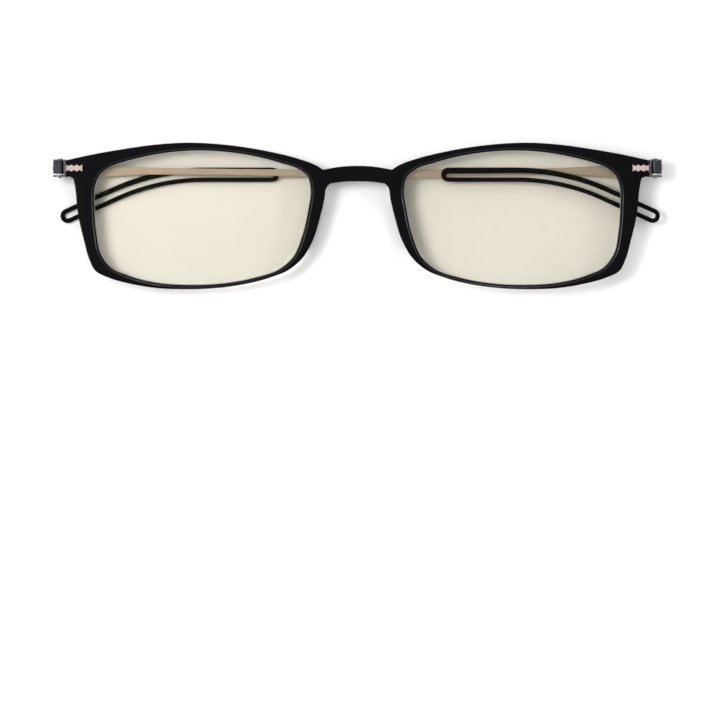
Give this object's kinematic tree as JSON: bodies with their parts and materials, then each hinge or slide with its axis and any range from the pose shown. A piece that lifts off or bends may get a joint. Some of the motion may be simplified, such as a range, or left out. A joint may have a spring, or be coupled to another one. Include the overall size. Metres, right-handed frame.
{
  "type": "folding reading glasses",
  "caption": "Thin folding reading glasses: moulded rectangular front, tinted lenses, and flat metal temples with open-loop ear tips that fold flat behind the front on screw hinges.",
  "frame": {"origin": "middle of the box's base: on the table under the middle of the front, with the glasses lying face up and both temples folded behind the front", "axes": "+X along the front towards the wearer's left, +Y up towards the brow, +Z out of the lenses, away from the wearer"},
  "size_m": [0.1439, 0.0344, 0.0051],
  "materials": {
    "front_plastic": "satin black, fine moulded grain",
    "lens": "clear with a pale warm tint and a thin coating",
    "anchor_metal": "satin, pinkish beige",
    "bracket_metal": "satin grey",
    "knuckle_metal": "dark gunmetal",
    "screw_metal": "machined",
    "arm_metal": "satin champagne",
    "washer_nylon": "translucent natural nylon",
    "tip_rubber": "soft matt black"
  },
  "bodies": {
    "front": {"front_frame": "front_plastic", "right_lens": "lens", "left_lens": "lens", "right_hinge_anchor": "anchor_metal", "left_hinge_anchor": "anchor_metal", "right_hinge_bracket": "bracket_metal", "left_hinge_bracket": "bracket_metal", "right_hinge_screw": "screw_metal", "left_hinge_screw": "screw_metal", "right_hinge_washer": "washer_nylon", "left_hinge_washer": "washer_nylon"},
    "right_temple": {"right_temple_arm": "arm_metal", "right_temple_tip": "tip_rubber", "right_temple_knuckle": "knuckle_metal", "right_temple_rivets": "screw_metal"},
    "left_temple": {"left_temple_arm": "arm_metal", "left_temple_tip": "tip_rubber", "left_temple_knuckle": "knuckle_metal", "left_temple_rivets": "screw_metal"}
  },
  "joints": [
    {"name": "right_temple_fold", "type": "hinge", "parent": "front", "child": "right_temple", "pos_m": [-0.0701, 0.01151, 0.00381], "axis": [0, 1, 0], "range_deg": [0, 92]},
    {"name": "left_temple_fold", "type": "hinge", "parent": "front", "child": "left_temple", "pos_m": [0.0701, 0.01151, 0.00381], "axis": [0, -1, 0], "range_deg": [0, 92]}
  ]
}
